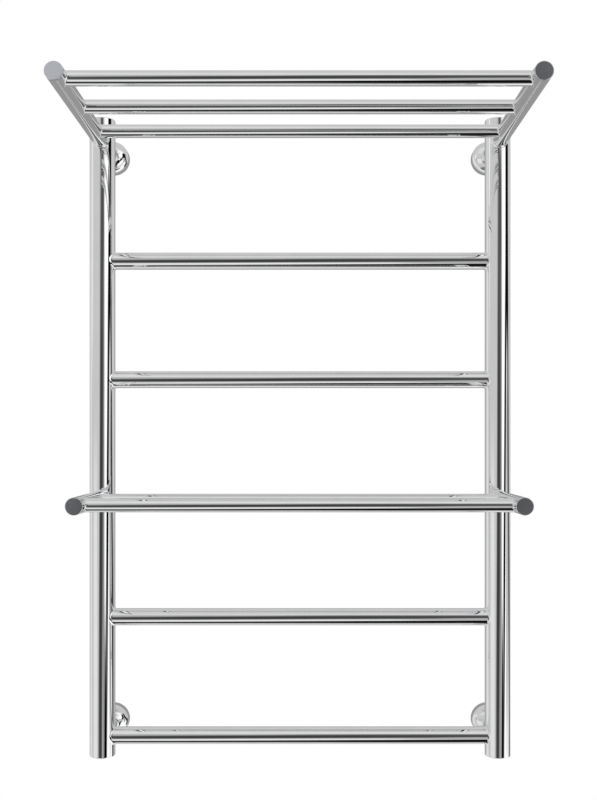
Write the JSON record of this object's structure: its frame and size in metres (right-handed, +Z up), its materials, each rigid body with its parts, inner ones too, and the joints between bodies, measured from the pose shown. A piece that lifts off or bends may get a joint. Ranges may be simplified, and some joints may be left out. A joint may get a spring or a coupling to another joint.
{
  "type": "towel rack",
  "caption": "Wall-hung ladder towel rail of polished steel tube with an upper rod shelf, a lower rod shelf and adjustable wall brackets.",
  "frame": {"origin": "on the wall, midway between the centres of the two lower wall feet", "axes": "+Z up, +Y into the wall, so that the front faces -Y, +X to the right seen from the front"},
  "size_m": [0.542, 0.33, 0.803],
  "materials": {
    "polished_steel": "mirror polished stainless steel",
    "faced_steel": "turned and fine polished end faces",
    "turned_steel": "as turned on a lathe",
    "screw_steel": "machined stainless screw",
    "ring_rubber": "matt black"
  },
  "bodies": {
    "wall_feet": {"wall_foot_lower_left": "turned_steel", "wall_foot_lower_right": "turned_steel", "wall_foot_upper_left": "turned_steel", "wall_foot_upper_right": "turned_steel"},
    "rail": {"upright_left": "polished_steel", "top_cap_left": "polished_steel", "connection_bush_left": "turned_steel", "shelf_arm_left": "polished_steel", "shelf_arm_cap_left": "faced_steel", "lower_arm_left": "polished_steel", "lower_arm_cap_left": "faced_steel", "upright_right": "polished_steel", "top_cap_right": "polished_steel", "connection_bush_right": "turned_steel", "shelf_arm_right": "polished_steel", "shelf_arm_cap_right": "faced_steel", "lower_arm_right": "polished_steel", "lower_arm_cap_right": "faced_steel", "rung_1": "polished_steel", "rung_2": "polished_steel", "rung_3": "polished_steel", "rung_4": "polished_steel", "shelf_rod_rear": "polished_steel", "shelf_rod_middle": "polished_steel", "shelf_rod_front": "polished_steel", "lower_rod_rear": "polished_steel", "lower_rod_front": "polished_steel", "spigot_lower_left": "polished_steel", "spigot_lower_right": "polished_steel", "spigot_upper_left": "polished_steel", "spigot_upper_right": "polished_steel"},
    "vent_screw_left": {"vent_screw_left": "screw_steel"},
    "vent_screw_right": {"vent_screw_right": "screw_steel"},
    "set_screw_lower_left": {"set_screw_lower_left": "screw_steel"},
    "rosette_lower_left": {"rosette_lower_left": "polished_steel", "grip_ring_lower_left": "ring_rubber"},
    "set_screw_lower_right": {"set_screw_lower_right": "screw_steel"},
    "rosette_lower_right": {"rosette_lower_right": "polished_steel", "grip_ring_lower_right": "ring_rubber"},
    "set_screw_upper_left": {"set_screw_upper_left": "screw_steel"},
    "rosette_upper_left": {"rosette_upper_left": "polished_steel", "grip_ring_upper_left": "ring_rubber"},
    "set_screw_upper_right": {"set_screw_upper_right": "screw_steel"},
    "rosette_upper_right": {"rosette_upper_right": "polished_steel", "grip_ring_upper_right": "ring_rubber"}
  },
  "joints": [
    {"name": "rail_reach", "type": "slide", "parent": "wall_feet", "child": "rail", "axis": [0, -1, 0], "range_m": [-0.006, 0.003]},
    {"name": "rosette_slide_lower_left", "type": "slide", "parent": "wall_feet", "child": "rosette_lower_left", "axis": [0, -1, 0], "range_m": [0, 0.025]},
    {"name": "set_screw_turn_lower_left", "type": "hinge", "parent": "wall_feet", "child": "set_screw_lower_left", "pos_m": [-0.25, -0.018, -0.009], "axis": [0, 0, -1], "range_deg": [0, 450]},
    {"name": "rosette_slide_lower_right", "type": "slide", "parent": "wall_feet", "child": "rosette_lower_right", "axis": [0, -1, 0], "range_m": [0, 0.025]},
    {"name": "set_screw_turn_lower_right", "type": "hinge", "parent": "wall_feet", "child": "set_screw_lower_right", "pos_m": [0.25, -0.018, -0.009], "axis": [0, 0, -1], "range_deg": [0, 450]},
    {"name": "rosette_slide_upper_left", "type": "slide", "parent": "wall_feet", "child": "rosette_upper_left", "axis": [0, -1, 0], "range_m": [0, 0.025]},
    {"name": "set_screw_turn_upper_left", "type": "hinge", "parent": "wall_feet", "child": "set_screw_upper_left", "pos_m": [-0.25, -0.018, 0.741], "axis": [0, 0, -1], "range_deg": [0, 450]},
    {"name": "rosette_slide_upper_right", "type": "slide", "parent": "wall_feet", "child": "rosette_upper_right", "axis": [0, -1, 0], "range_m": [0, 0.025]},
    {"name": "set_screw_turn_upper_right", "type": "hinge", "parent": "wall_feet", "child": "set_screw_upper_right", "pos_m": [0.25, -0.018, 0.741], "axis": [0, 0, -1], "range_deg": [0, 450]},
    {"name": "vent_screw_turn_left", "type": "hinge", "parent": "rail", "child": "vent_screw_left", "pos_m": [-0.25, -0.08, 0.778], "axis": [0, 0, 1], "range_deg": [0, 450]},
    {"name": "vent_screw_turn_right", "type": "hinge", "parent": "rail", "child": "vent_screw_right", "pos_m": [0.25, -0.08, 0.778], "axis": [0, 0, 1], "range_deg": [0, 450]}
  ]
}
